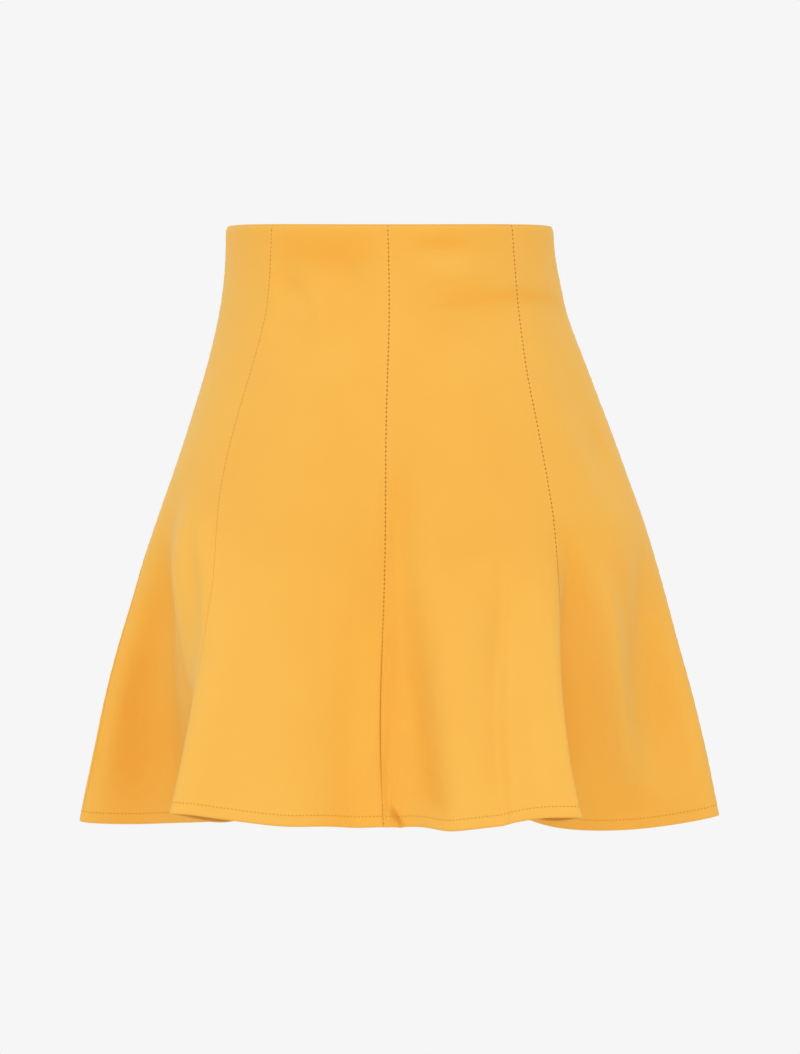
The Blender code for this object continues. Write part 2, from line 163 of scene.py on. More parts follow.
# How far the hem lies above (or, if negative, below) its plain line, in mm, round the skirt.
HemLevel = namedtuple("HemLevel", "at rise")
HEM_LEVELS = [HemLevel(*row) for row in (
    (0.00, 0.0), (0.25, 1.6), (0.50, 0.8), (0.75, 1.6), (0.92, 0.2), (1.04, -1.5), (1.13, -3.6), (1.23, -3.6), (1.38, 0.6),
    (1.50, 0.9), (1.68, -0.6), (1.90, -1.5), (2.15, -0.8), (2.60, 0.6), (3.40, -0.8), (4.00, 0.4), (4.70, -0.8),
    (5.40, 0.6), (5.90, 0.0), (6.15, -0.8), (6.38, -2.2), (6.50, -0.6), (6.61, 2.8), (6.71, 2.6), (6.80, 0.2), (6.89, -2.5),
    (6.98, -1.5), (7.09, 0.3), (7.20, 0.6), (7.30, -0.9), (7.42, -2.8), (7.56, -1.4), (7.75, 0.4), (7.90, 0.6),
)]

# How a seam shows: dots where its stitches pull, and a line where it is drawn in, at depths down the seam.
SeamLook = namedtuple("SeamLook", "seam depth dots line")
SEAM_LOOKS = [SeamLook(*row) for row in (
    (0, 0, 0.7, 0.0), (0, 60, 0.9, 0.0), (0, 130, 0.9, 0.0), (0, 260, 0.8, 0.05), (0, 300, 0.3, 0.8), (0, 350, 0.15, 0.8),
    (0, 395, 0.1, 0.1), (0, 412, 0.5, 0.0),
    (1, 0, 0.4, 0.0), (1, 25, 0.45, 0.0), (1, 60, 0.25, 0.1), (1, 190, 0.15, 0.1), (1, 260, 0.0, 0.0),
    (2, 0, 0.3, 0.0), (2, 150, 0.2, 0.0), (2, 200, 0.0, 0.0), (6, 0, 0.3, 0.0), (6, 150, 0.2, 0.0), (6, 200, 0.0, 0.0),
    (7, 0, 0.9, 0.0), (7, 120, 1.0, 0.0), (7, 225, 0.9, 0.05), (7, 240, 0.5, 0.9), (7, 262, 0.2, 0.6), (7, 300, 0.0, 0.0),
)]

GORES = ("front_centre_left", "front_side_left", "back_side_left", "back_centre_left",
         "back_centre_right", "back_side_right", "front_side_right", "front_centre_right")
# Each gore's cut before sewing, with 12 mm at each seam, 16 at the waist and 9.4 at the hem: greatest width, length, area.
Cut = namedtuple("Cut", "width length area")


# ------------------------------------------------------------------ the form
class Round:
    """A smooth closed curve through values at knots, as weights: weights(g) @ values."""

    def __init__(self, knots, turn=8.0, lap=6):
        knots = np.asarray(knots, float)
        n = len(knots)
        lap = min(lap, n)
        self.x = np.concatenate([knots[-lap:] - turn, knots, knots[:lap] + turn])
        self.take = np.concatenate([np.arange(n)[-lap:], np.arange(n), np.arange(n)[:lap]])
        self.n, self.turn = n, turn
        m = len(self.x)
        h = np.diff(self.x)
        a, b = np.zeros((m, m)), np.zeros((m, m))
        a[0, 0] = a[-1, -1] = 1
        for i in range(1, m - 1):
            a[i, i - 1:i + 2] = h[i - 1], 2 * (h[i - 1] + h[i]), h[i]
            b[i, i - 1:i + 2] = 6 / h[i - 1], -6 / h[i] - 6 / h[i - 1], 6 / h[i]
        self.curve = np.linalg.solve(a, b)

    def weights(self, g):
        g = np.mod(g, self.turn)
        i = np.clip(np.searchsorted(self.x, g) - 1, 0, len(self.x) - 2)
        h = self.x[i + 1] - self.x[i]
        after, before = g - self.x[i], self.x[i + 1] - g
        row = np.arange(len(g))
        w = np.zeros((len(g), len(self.x)))
        w[row, i] += before / h
        w[row, i + 1] += after / h
        w += self.curve[i] * (before ** 3 / (6 * h) - before * h / 6)[:, None]
        w += self.curve[i + 1] * (after ** 3 / (6 * h) - after * h / 6)[:, None]
        out = np.zeros((len(g), self.n))
        np.add.at(out.T, self.take, w.T)
        return out


def natural(knots, values):
    """A natural cubic spline through the knots, as a function."""
    order = np.argsort(knots)
    x, y = np.asarray(knots, float)[order], np.asarray(values, float)[order]
    n, h = len(x), np.diff(x)
    a, b = np.zeros((n, n)), np.zeros(n)
    a[0, 0] = a[-1, -1] = 1
    for i in range(1, n - 1):
        a[i, i - 1:i + 2] = h[i - 1], 2 * (h[i - 1] + h[i]), h[i]
        b[i] = 6 * ((y[i + 1] - y[i]) / h[i] - (y[i] - y[i - 1]) / h[i - 1])
    m = np.linalg.solve(a, b)

    def at(v):
        v = np.asarray(v, float)
        i = np.clip(np.searchsorted(x, v) - 1, 0, n - 2)
        after, before, s = v - x[i], x[i + 1] - v, h[i]
        return ((m[i] * before ** 3 + m[i + 1] * after ** 3) / (6 * s)
                + (y[i] / s - m[i] * s / 6) * before + (y[i + 1] / s - m[i + 1] * s / 6) * after)
    return at


OVAL = {f: natural([s.z for s in SECTIONS], [getattr(s, f) for s in SECTIONS]) for f in Section._fields[1:]}
FOLD_RING = Round([f.at for f in FOLDS])
SEAM_RING = Round(range(8), lap=8)
FOLD = {f: np.array([getattr(x, f) for x in FOLDS], float) for f in Fold._fields[1:]}
HEM_RING = Round([h.at for h in HEM_LEVELS])
HEM_RISE = np.array([h.rise for h in HEM_LEVELS])


def form(g, v):
    """Points of the plain form at g gores and share v of the length, arrays of one length."""
    z = -LENGTH * v
    s = {name: f(z) for name, f in OVAL.items()}
    front = -np.degrees(np.arcsin(s["front_x"] / (s["left"] + s["right"]) * 2))
    off = np.zeros((len(g), 8))
    off[:, 0], off[:, 1], off[:, 7] = front, s["left_seam"] - 45, 45 - s["right_seam"]
    t = np.radians(45 * np.mod(g, 8.0) + (SEAM_RING.weights(g) * off).sum(1))
    w = FOLD_RING.weights(g)
    grown = np.clip((FOLD["start"] - z[:, None]) / (FOLD["start"] + LENGTH), 0, 1) ** FOLD["power"]
    x = -np.where(np.sin(t) > 0, s["left"], s["right"]) * np.sin(t) + (w * grown) @ FOLD["across"]
    y = -np.where(np.cos(t) > 0, s["front"], s["back"]) * np.cos(t) + (w * grown) @ FOLD["along"]
    waist = -WAIST_DIP * np.clip(np.cos(t), 0, 1) ** 2
    return np.stack([x, y, waist * (1 - v) + (w @ FOLD["hem"]) * v], -1)


def form_frame(g, v, step=1e-3):
    """Points, outward normals, and mm to a gore there."""
    across = (form(g + step, v) - form(g - step, v)) / (2 * step)
    down = form(g, v + step) - form(g, v - step)
    normal = np.cross(across, down)
    return form(g, v), normal / np.linalg.norm(normal, axis=1)[:, None], np.linalg.norm(across, axis=1)


def smooth(low, high, x):
    t = np.clip((x - low) / (high - low), 0, 1)
    return t * t * (3 - 2 * t)


def around(a, b):
    """a - b the short way round the skirt, in gores."""
    return np.mod(a - b + 4, 8) - 4


def creased(g, d, width, kinds=("",)):
    """Millimetres by which the creases move the cloth outwards, at g gores and d mm down, where a gore is `width` mm.
    Only those with one of `kinds` in their name count."""
    out = np.zeros(len(g))
    for c in CREASES:
        if not any(kind in c.name for kind in kinds):
            continue
        if c.way == "down":
            s = (d - c.from_d) / (c.to_d - c.from_d)
            run = np.clip(s, 0, 1)
            middle = c.from_g + around(c.to_g, c.from_g) * run + c.bow * 4 * run * (1 - run)
            u = around(g, middle) * width
        else:
            span = around(c.to_g, c.from_g)
            s = around(g, c.from_g + span / 2) / span + 0.5
            run = np.clip(s, 0, 1)
            u = d - (c.from_d + (c.to_d - c.from_d) * run + c.bow * 4 * run * (1 - run))
        half = c.width * (1 + (c.spread - 1) * run)
        u = u / (half * np.where(u > 0, 1 + 0.7 * c.lean, 1 - 0.7 * c.lean))
        along = smooth(0, c.rise, s) * (1 - smooth(1 - c.fall, 1, s) if c.fall else 1.0)
        out -= c.deep * along * np.exp(-u * u)
    return out


def ripples(g, d, width):
    """The cloth's own unevenness: long shallow waves, and small puckers beside the seams."""
    a = g * math.pi / 4
    long = (0.22 * np.sin(5 * a + 0.021 * d + 1.3) * np.sin(0.033 * d + 2 * a)
            + 0.16 * np.sin(11 * a - 0.017 * d) * np.sin(0.052 * d - 3 * a + 0.7)
            + 0.10 * np.sin(19 * a + 0.09 * d + 2.1) * np.sin(0.024 * d + 1.1))
    seam = np.round(g)
    off = np.abs(g - seam) * width
    phase = seam * 1.7
    pucker = (0.10 * np.sin(d * 0.62 + phase) + 0.07 * np.sin(d * 1.27 + 2.3 * phase)) * np.exp(-(off / 3.2) ** 2)
    return long * smooth(0, 40, d) + pucker * smooth(2, 12, d)


def edge_roll(off):
    """How far the cloth has turned in at `off` mm from its seam."""
    x = np.clip(ROLL - off, 0, ROLL)
    return ROLL - np.sqrt(ROLL ** 2 - x ** 2)


def waist_roll(d):
    """The top edge leans in over its last millimetres."""
    return 1.3 * np.clip(1 - d / 4.5, 0, 1) ** 2


def half_gap(seam, d):
    if seam % 8 != BACK_SEAM:
        return np.full_like(d, SEAM_HALF)
    return SEAM_HALF + (ZIP_MOUTH / 2 - SEAM_HALF) * smooth(ZIP_MOUTH_SHUT, ZIP_MOUTH_END, d)


def cloth(g, d, inward=0.0):
    """Points and normals of the cloth's outside at g gores and d mm down (arrays), or `inward` mm inside it."""
    v = d / LENGTH
    points, normals, width = form_frame(g, v)
    out = creased(g, d, width) + ripples(g, d, width) - waist_roll(d)
    points = points + normals * (out - inward)[:, None]
    # the right waist's creases sink straight back, so that the seam runs straight through them as in the picture
    sunk = creased(g, d, width, ("waist_right",))
    back = normals[:, 1] / np.maximum(normals[:, 1] ** 2, 0.16)
    points -= normals * (sunk * normals[:, 1] * back)[:, None]
    points[:, 1] += sunk * back
    points[:, 2] += (HEM_RING.weights(g) @ HEM_RISE) * smooth(300, LENGTH, d)
    return points, normals, width


# ------------------------------------------------------------------ meshes
def mesh_object(name, verts, faces, material, smooth_angle=50.0):
    mesh = bpy.data.meshes.new(name)
    mesh.from_pydata((np.asarray(verts) * MM).tolist(), [], faces)
    mesh.update()
    mesh.shade_smooth()
    if smooth_angle:
        mesh.set_sharp_from_angle(angle=math.radians(smooth_angle))
    mesh.materials.append(material)
    obj = bpy.data.objects.new(name, mesh)
    bpy.context.scene.collection.objects.link(obj)
    return obj


def attach(obj, name, values):
    """Stores four numbers a vertex for the material to read."""
    layer = obj.data.attributes.new(name, "FLOAT_COLOR", "POINT")
    layer.data.foreach_set("color", np.asarray(values, dtype=np.float32).ravel())


def look_of(seam, d):
    rows = [r for r in SEAM_LOOKS if r.seam == seam % 8]
    if not rows:
        return np.interp(d, (0, 230, 300), (0.6, 0.5, 0.15)), np.full_like(d, 0.0)
    return (np.interp(d, [r.depth for r in rows], [r.dots for r in rows]),
            np.interp(d, [r.depth for r in rows], [r.line for r in rows]))


EDGE_STEPS = (0.0, 0.07, 0.16, 0.30, 0.55, 0.95, 1.6, 2.6, 3.8, 5.0, 6.4, 8.0, 10.0)
FINE_STEPS = EDGE_STEPS[:8] + tuple(3.4 + 0.75 * i for i in range(14))
ACROSS = 58                 # strips between those
ARC = 5                     # points round a folded edge


def painted_light_amount(points, inward, ridge):
    """Painted light on the cloth at a grid of points: over 0.5 it is painted shade, where the cloth faces down or lies
    in a trough, and under 0.5 a painted highlight, where it faces up or stands out in a ridge."""
    normal = np.cross(np.gradient(points, axis=1), np.gradient(points, axis=0))
    up = normal[..., 2] / np.linalg.norm(normal, axis=2)
    painted_light = np.maximum(smooth(-0.12, 0.15, -up), np.clip(inward / 14, 0, 0.7))
    painted_highlight = np.clip(ridge / 7, 0, 1)
    return np.clip(0.5 + 0.5 * painted_light * (1 - painted_highlight) - 0.5 * smooth(0.15, 0.5, up) - 0.4 * painted_highlight, 0, 1)


def depths():
    """Depths of a gore's rings."""
    radius = CLOTH + LAYER / 2
    top, bottom = radius, LENGTH - radius
    rows = [top, top + 0.8, top + 1.8, top + 3.0, top + 4.5]
    rows += list(np.arange(top + 6.3, WAIST_TURN - 1.0, 1.9)) + [WAIST_TURN - 0.1, WAIST_TURN + 0.1]
    rows += list(np.linspace(WAIST_TURN + 1.9, LENGTH - HEM_FOLD - 1.9, 190))
    rows += [LENGTH - HEM_FOLD - 0.1, LENGTH - HEM_FOLD + 0.1]
    rows += [LENGTH - HEM_TURN - 0.9, LENGTH - HEM_TURN, LENGTH - HEM_TURN + 0.9]
    rows += list(np.linspace(LENGTH - HEM_TURN + 2.0, bottom, 4))
    return np.array(rows)


def gore_columns(k, d):
    """Where gore k's columns lie at each depth d: gores round, and mm from the nearer seam."""
    n = len(d)
    ends = [form_frame(np.full(n, float(k + side)), d / LENGTH)[2] for side in (0, 1)]
    steps, back = np.array(EDGE_STEPS), np.array(FINE_STEPS if k == 7 else EDGE_STEPS)[::-1]
    near = k + (half_gap(k, d)[:, None] + steps) / ends[0][:, None]
    far = k + 1 - (half_gap(k + 1, d)[:, None] + back) / ends[1][:, None]
    share = np.linspace(0, 1, ACROSS + 1)[1:-1]
    middle = near[:, -1:] * (1 - share) + far[:, :1] * share
    g = np.concatenate([near, middle, far], 1)
    off = np.concatenate([np.tile(steps, (n, 1)), np.full(middle.shape, 50.0), np.tile(back, (n, 1))], 1)
    return g, off


def gore(k, material):
    """A gore: cloth with its edges rolled into the seams, its waist edge turned in and its hem turned up."""
    d = depths()
    rows = len(d)
    g, off = gore_columns(k, d)
    columns = g.shape[1]
    dd = np.repeat(d, columns)
    points, normals, width = cloth(g.ravel(), dd)
    roll = edge_roll(off.ravel())
    outside = (points - normals * roll[:, None]).reshape(rows, columns, 3)
    normals = normals.reshape(rows, columns, 3)
    turned = (d < WAIST_TURN) | (d > LENGTH - HEM_FOLD)
    depth = np.where(turned, 2 * CLOTH + LAYER, CLOTH)
    inside = points.reshape(rows, columns, 3) - normals * depth[:, None, None]

    radius = CLOTH + LAYER / 2

    def arc(row, past):
        """Points round a folded edge past ring `row`."""
        centre = (outside[row] + inside[row]) / 2
        out = (outside[row] - inside[row]) / 2
        way = outside[row] - outside[past]
        way -= normals[row] * (way * normals[row]).sum(1)[:, None]
        way /= np.linalg.norm(way, axis=1)[:, None]
        angles = np.linspace(0, math.pi, ARC + 2)[1:-1]
        return [centre + out * math.cos(a) + way * radius * math.sin(a) for a in angles]

    loops = list(outside) + arc(rows - 1, rows - 2) + list(inside[::-1]) + arc(0, 1)[::-1]
    total = len(loops)
    verts = np.concatenate(loops)
    faces = []
    index = np.arange(total * columns).reshape(total, columns)
    nxt = np.roll(index, -1, 0)
    quads = np.stack([index[:, :-1], index[:, 1:], nxt[:, 1:], nxt[:, :-1]], -1).reshape(-1, 4)
    faces += quads.tolist()
    inner = lambda j: rows + ARC + (rows - 1 - j)
    for column, flip in ((0, False), (columns - 1, True)):
        for j in range(rows - 1):
            quad = [index[j, column], index[j + 1, column], index[inner(j + 1), column], index[inner(j), column]]
            faces.append([int(i) for i in (quad[::-1] if flip else quad)])
        hem = [int(index[j, column]) for j in range(rows - 1, rows + ARC + 1)]
        top = [int(index[j, column]) for j in range(2 * rows + ARC - 1, total)] + [int(index[0, column])]
        faces.append(hem[::-1] if flip else hem)
        faces.append(top[::-1] if flip else top)
    strips = [allowance(k, side) for side in (0, 1)]
    extra = sum(len(x[0]) for x in strips)
    for strip_verts, strip_faces, _, _ in strips:
        verts = np.concatenate([verts, strip_verts])
        faces += [[i + len(verts) - len(strip_verts) for i in f] for f in strip_faces]
    obj = mesh_object(GORES[k] + "_cloth", verts, faces, material)

    # For the material: distance from the seam, depth down it, distance round, how strongly dots and line show, and the
    # painted shade and painted highlight on the colour.
    arc_rows = [np.full(ARC, rows - 1), np.full(ARC, 0)]
    ring_of = np.concatenate([np.arange(rows), arc_rows[0], np.arange(rows)[::-1], arc_rows[1]])
    shown = np.concatenate([np.ones(rows), np.zeros(total - rows)])
    seam_off = np.where(shown[:, None] > 0, off[ring_of], 50.0)
    run = np.cumsum(np.linalg.norm(np.diff(outside, axis=1, prepend=outside[:, :1]), axis=2), 1)
    place = np.zeros((total, columns, 4))
    place[..., 0] = seam_off
    place[..., 1] = d[ring_of][:, None]
    place[..., 2] = run[ring_of]
    place[..., 3] = shown[:, None]
    tail = [np.stack([np.full_like(run_, 50.0), down_, run_, np.zeros_like(run_)], -1) for _, _, down_, run_ in strips]
    attach(obj, "place", np.concatenate([place.reshape(-1, 4)] + tail))
    look = np.zeros((total, columns, 4))
    half = columns // 2
    for seam, part in ((k, slice(0, half)), (k + 1, slice(half, columns))):
        dots, line = look_of(seam, d)
        look[:, part, 0] = dots[ring_of][:, None]
        look[:, part, 1] = line[ring_of][:, None]
    # painted shade and painted highlight, from the cloth's tilt and its creases, kept in the look's third channel; 0.5
    # leaves the colour as it is
    inward = -creased(g.ravel(), dd, width).reshape(rows, columns)
    ridge = creased(g.ravel(), dd, width, ("streak", "lobe")).reshape(rows, columns)
    painted_light = painted_light_amount(points.reshape(rows, columns, 3), inward, ridge)
    look[..., 2] = np.where(shown[:, None] > 0, painted_light[ring_of], 0.5)
    look[..., 3] = 1
    attach(obj, "look", np.concatenate([look.reshape(-1, 4), np.tile((0, 0, 0.5, 1), (extra, 1))]))
    return obj


def box_of(rings):
    """Faces of a closed bar, from rings of points that go round it, each ring of one length."""
    n, m = len(rings), len(rings[0])
    faces = [[i * m + j, i * m + (j + 1) % m, (i + 1) * m + (j + 1) % m, (i + 1) * m + j]
             for i in range(n - 1) for j in range(m)]
    return faces + [list(range(m))[::-1], [(n - 1) * m + j for j in range(m)]]


def ribbon(seam, side, depths, offs, near, thick):
    """A flat strip along a seam, inside the cloth: from offs[0] to offs[-1] mm to one side of it."""
    n, m = len(depths), len(offs)
    width = form_frame(np.full(n, float(seam)), depths / LENGTH)[2]
    g = seam + side * np.asarray(offs)[None, :] / width[:, None]
    dd = np.repeat(depths, m)
    rings = []
    for inward in (near, near + thick):
        rings.append(cloth(g.ravel(), dd, inward)[0].reshape(n, m, 3))
    loops = np.concatenate([rings[0], rings[1][:, ::-1]], 1)
    if side > 0:
        loops = loops[:, ::-1]
    down = np.repeat(depths, 2 * m)
    run = np.tile(np.concatenate([offs, offs[::-1]]), n)
    return loops.reshape(-1, 3), box_of(loops), down, run


def allowance(k, side):
    """Gore k's seam allowance at one of its seams, pressed flat against its inside."""
    seam = k + side
    top = ZIP_LENGTH + 4 if seam % 8 == BACK_SEAM else WAIST_TURN + 0.7
    d = np.linspace(top, LENGTH - HEM_FOLD - 0.7, 120)
    offs = np.array([0.35, 3.0, 6.0, 9.0, ALLOWANCE - 0.25, ALLOWANCE])
    return ribbon(seam, -1 if side else 1, d, offs, CLOTH + ALLOWANCE_GAP, ALLOWANCE_THICK)


# ------------------------------------------------------------------ threads
def stitches(name, centre, along, normal, half, radius, material, sides=5):
    """Short rounded threads, one for each row of the arrays."""
    across = np.cross(along, normal)
    profile = ((-1, 0), (-0.86, 0.7), (-0.4, 1), (0.4, 1), (0.86, 0.7), (1, 0))
    half = np.broadcast_to(half, len(centre))[:, None]
    radius = np.broadcast_to(radius, len(centre))[:, None]
    rings = []
    for at, size in profile:
        middle = centre + along * half * at
        if size == 0:
            rings.append(middle[:, None])
            continue
        angles = np.linspace(0, 2 * math.pi, sides, endpoint=False)
        rings.append(middle[:, None] + (radius * size)[:, None] * (across[:, None] * np.cos(angles)[None, :, None]
                                                                   + normal[:, None] * np.sin(angles)[None, :, None]))
    verts = np.concatenate(rings, 1)
    count = verts.shape[1]
    one = [[0, 1 + j, 1 + (j + 1) % sides] for j in range(sides)]
    for r in range(3):
        a = 1 + r * sides
        one += [[a + j, a + sides + j, a + sides + (j + 1) % sides, a + (j + 1) % sides] for j in range(sides)]
    a = 1 + 3 * sides
    one += [[a + j, count - 1, a + (j + 1) % sides] for j in range(sides)]
    faces = [[i + n * count for i in f] for n in range(len(centre)) for f in one]
    return mesh_object(name, verts.reshape(-1, 3), faces, material, None)


def unit(v):
    return v / np.linalg.norm(v, axis=-1, keepdims=True)


def seam_thread(material):
    """The seams' stitches, where they pull at the surface."""
    rows = []
    for seam in range(8):
        first = ZIP_LENGTH + 4 if seam == BACK_SEAM else 5.0
        d = np.arange(first, LENGTH - 2.5, STITCH)
        d = d - np.mod(d, STITCH) + STITCH / 2
        dots = look_of(seam, d)[0]
        g = np.full(len(d), float(seam))
        at, normal, _ = cloth(g, d)
        along = unit(cloth(g, d + 0.4)[0] - cloth(g, d - 0.4)[0])
        keep = dots > 0.12
        radius = 0.10 + 0.20 * dots
        rows.append([x[keep] for x in (at - normal * (radius * 0.35)[:, None], along, normal, 0.42 + 0.28 * dots, radius)])
    joined = [np.concatenate([r[i] for r in rows]) for i in range(5)]
    return stitches("seam_thread", joined[0], joined[1], joined[2], joined[3], joined[4], material)


def round_row(depth, inward, pitch):
    """Points a pitch apart round the skirt at one depth, with the way along and the normal."""
    parts = []
    for k in range(8):
        g = np.linspace(k, k + 1, 240)
        d = np.full(240, depth)
        at, normal, width = cloth(g, d, inward)
        run = np.concatenate([[0], np.cumsum(np.linalg.norm(np.diff(at, axis=0), axis=1))])
        steps = np.arange(pitch * 0.5, run[-1] - pitch * 0.3, pitch)
        g = np.interp(steps, run, g)
        at, normal, _ = cloth(g, np.full(len(g), depth), inward)
        ahead = cloth(g + 0.002, np.full(len(g), depth), inward)[0]
        parts.append((at, unit(ahead - at), normal, g))
    return [np.concatenate([p[i] for p in parts]) for i in range(4)]


def hem_thread(material):
    at, along, normal, _ = round_row(LENGTH - HEM_TURN, 0.03, HEM_STITCH)
    back, back_along, back_normal, _ = round_row(LENGTH - HEM_TURN, 2 * CLOTH + LAYER - 0.03, HEM_STITCH)
    return stitches("hem_thread", np.concatenate([at, back]), np.concatenate([along, back_along]),
                    np.concatenate([normal, back_normal]), 0.58, 0.17, material)


def overlock(material):
    """Threads wrapped over the raw edges inside: the allowances', the hem's and the waist turn's."""
    rows = []
    inner = CLOTH + ALLOWANCE_GAP + ALLOWANCE_THICK
    for seam in range(8):
        first = ZIP_LENGTH + 6 if seam == BACK_SEAM else WAIST_TURN + 2
        d = np.arange(first, LENGTH - HEM_FOLD - 2, 2.6)
        width = form_frame(np.full(len(d), float(seam)), d / LENGTH)[2]
        for side in (-1, 1):
            g = seam + side * (ALLOWANCE - 2.0) / width
            at, normal, _ = cloth(g, d, inner - 0.02)
            out = cloth(seam + side * ALLOWANCE / width, d + 0.5, inner - 0.02)[0]
            along = unit(out - at)
            rows.append((at, along, normal))
    for depth, inward, way in ((LENGTH - HEM_FOLD + 1.1, 2 * CLOTH + LAYER - 0.02, 1.0),
                               (WAIST_TURN - 1.9, 2 * CLOTH + LAYER - 0.02, -1.0)):
        at, along, normal, g = round_row(depth, inward, 2.6)
        down = unit(cloth(g, np.full(len(g), depth + 1.0), inward)[0] - at + along * 0.35)
        rows.append((at, down, normal))
    at, along, normal = [np.concatenate([r[i] for r in rows]) for i in range(3)]
    half = np.full(len(at), 1.7)
    return stitches("overlock_thread", at, along, normal, half, 0.13, material, sides=4)


# ------------------------------------------------------------------ the zip
TAPE_NEAR, TAPE_THICK = 2 * CLOTH + LAYER + 0.15, 0.42
COIL_RADIUS, COIL_WIRE, COIL_PITCH = 0.62, 0.17, 1.3


def tape(name, side, material):
    d = np.linspace(ZIP_TOP, ZIP_LENGTH, 130)
    seam = np.full(len(d), float(BACK_SEAM))
    width = form_frame(seam, d / LENGTH)[2]
    gap = half_gap(BACK_SEAM, d) + 0.12
    offs = np.array([0.0, 0.6, 1.6, 3.0, 5.0, 7.0, 9.0, 10.8, 11.6])
    g = BACK_SEAM + side * (gap[:, None] + offs[None, :]) / width[:, None]
    dd = np.repeat(d, len(offs))
    rings = [cloth(g.ravel(), dd, inward)[0].reshape(len(d), len(offs), 3) for inward in (TAPE_NEAR, TAPE_NEAR + TAPE_THICK)]
    loops = np.concatenate([rings[0], rings[1][:, ::-1]], 1)
    if side > 0:
        loops = loops[:, ::-1]
    return mesh_object(name, loops.reshape(-1, 3), box_of(loops), material, 40.0)


def coil(name, side, material):
    """One side's row of teeth: a coil along the tape's edge."""
    turns = (ZIP_LENGTH - 4 - ZIP_TOP) / COIL_PITCH
    segments = int(turns * 9)
    t = np.linspace(0, turns * 2 * math.pi, segments)
    d = ZIP_TOP + 1.0 + t / (2 * math.pi) * COIL_PITCH + (COIL_PITCH / 2 if side > 0 else 0)
    seam = np.full(len(d), float(BACK_SEAM))
    base, normal, width = cloth(seam, d, 0.0)
    away = half_gap(BACK_SEAM, d) + COIL_RADIUS * 0.72
    offset = side * (away + COIL_RADIUS * np.cos(t))
    at = cloth(BACK_SEAM + offset / width, d, 0.0)[0] - normal * (TAPE_NEAR + TAPE_THICK + 0.12 + COIL_RADIUS * (1 + np.sin(t)))[:, None]
    along = unit(np.gradient(at, axis=0))
    a = unit(np.cross(along, normal))
    b = np.cross(along, a)
    sides = 5
    angles = np.linspace(0, 2 * math.pi, sides, endpoint=False)
    rings = at[:, None] + COIL_WIRE * (a[:, None] * np.cos(angles)[None, :, None] + b[:, None] * np.sin(angles)[None, :, None])
    return mesh_object(name, rings.reshape(-1, 3), box_of(rings), material, None)


def softened(node, name, material, edge):
    """A CAD node's shape with its sharp edges rounded, as a new piece."""
    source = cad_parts[node]
    source = bpy.data.objects[source] if isinstance(source, str) else source
    mesh = source.data.copy()
    mesh.transform(source.matrix_world)
    weld = bmesh.new()
    weld.from_mesh(mesh)
    bmesh.ops.remove_doubles(weld, verts=weld.verts, dist=0.01 * MM)
    bmesh.ops.dissolve_limit(weld, angle_limit=math.radians(1), verts=weld.verts, edges=weld.edges)
    weld.to_mesh(mesh)
    weld.free()
    mesh.materials.clear()
    mesh.materials.append(material)
    obj = bpy.data.objects.new(name, mesh)
    bpy.context.scene.collection.objects.link(obj)
    bevel = obj.modifiers.new("Edge", "BEVEL")
    bevel.width, bevel.segments, bevel.limit_method, bevel.angle_limit = edge * MM, 3, "ANGLE", math.radians(35)
    mesh.shade_smooth()
    return obj


# ------------------------------------------------------------------ materials
class Nodes:
    """Short ways to make a material's nodes."""

    def __init__(self, name):
        self.material = bpy.data.materials.new(name)
        self.material.use_nodes = True
        self.tree = self.material.node_tree
        self.shader = self.tree.nodes["Principled BSDF"]

    def new(self, kind, **inputs):
        node = self.tree.nodes.new(kind)
        for key, value in inputs.items():
            self.put(node, key, value)
        return node

    def put(self, node, key, value):
        socket = node.inputs[int(key[1:]) if key[0] == "i" and key[1:].isdigit() else key.replace("_", " ")]
        if isinstance(value, bpy.types.NodeSocket):
            self.tree.links.new(value, socket)
        else:
            socket.default_value = value

    def math(self, operation, a, b=0.0, c=0.0, clamp=False):
        node = self.new("ShaderNodeMath", i0=a, i1=b, i2=c)
        node.operation, node.use_clamp = operation, clamp
        return node.outputs[0]

    def range(self, value, low, high, to_low=0.0, to_high=1.0, kind="SMOOTHSTEP"):
        node = self.tree.nodes.new("ShaderNodeMapRange")
        node.interpolation_type = kind
        for i, x in enumerate((value, low, high, to_low, to_high)):
            self.put(node, f"i{i}", x)
        return node.outputs[0]

    def mix(self, factor, a, b, blend="MIX"):
        node = self.tree.nodes.new("ShaderNodeMix")
        node.data_type, node.blend_type = "RGBA", blend
        self.put(node, "i0", factor)
        self.put(node, "i6", a)
        self.put(node, "i7", b)
        return node.outputs[2]

    def noise(self, vector, scale, detail=2.0, roughness=0.5):
        node = self.new("ShaderNodeTexNoise", Vector=vector, Scale=scale, Detail=detail, Roughness=roughness)
        return node.outputs["Fac"]

    def set(self, **values):
        for key, value in values.items():
            self.put(self.shader, key, value)


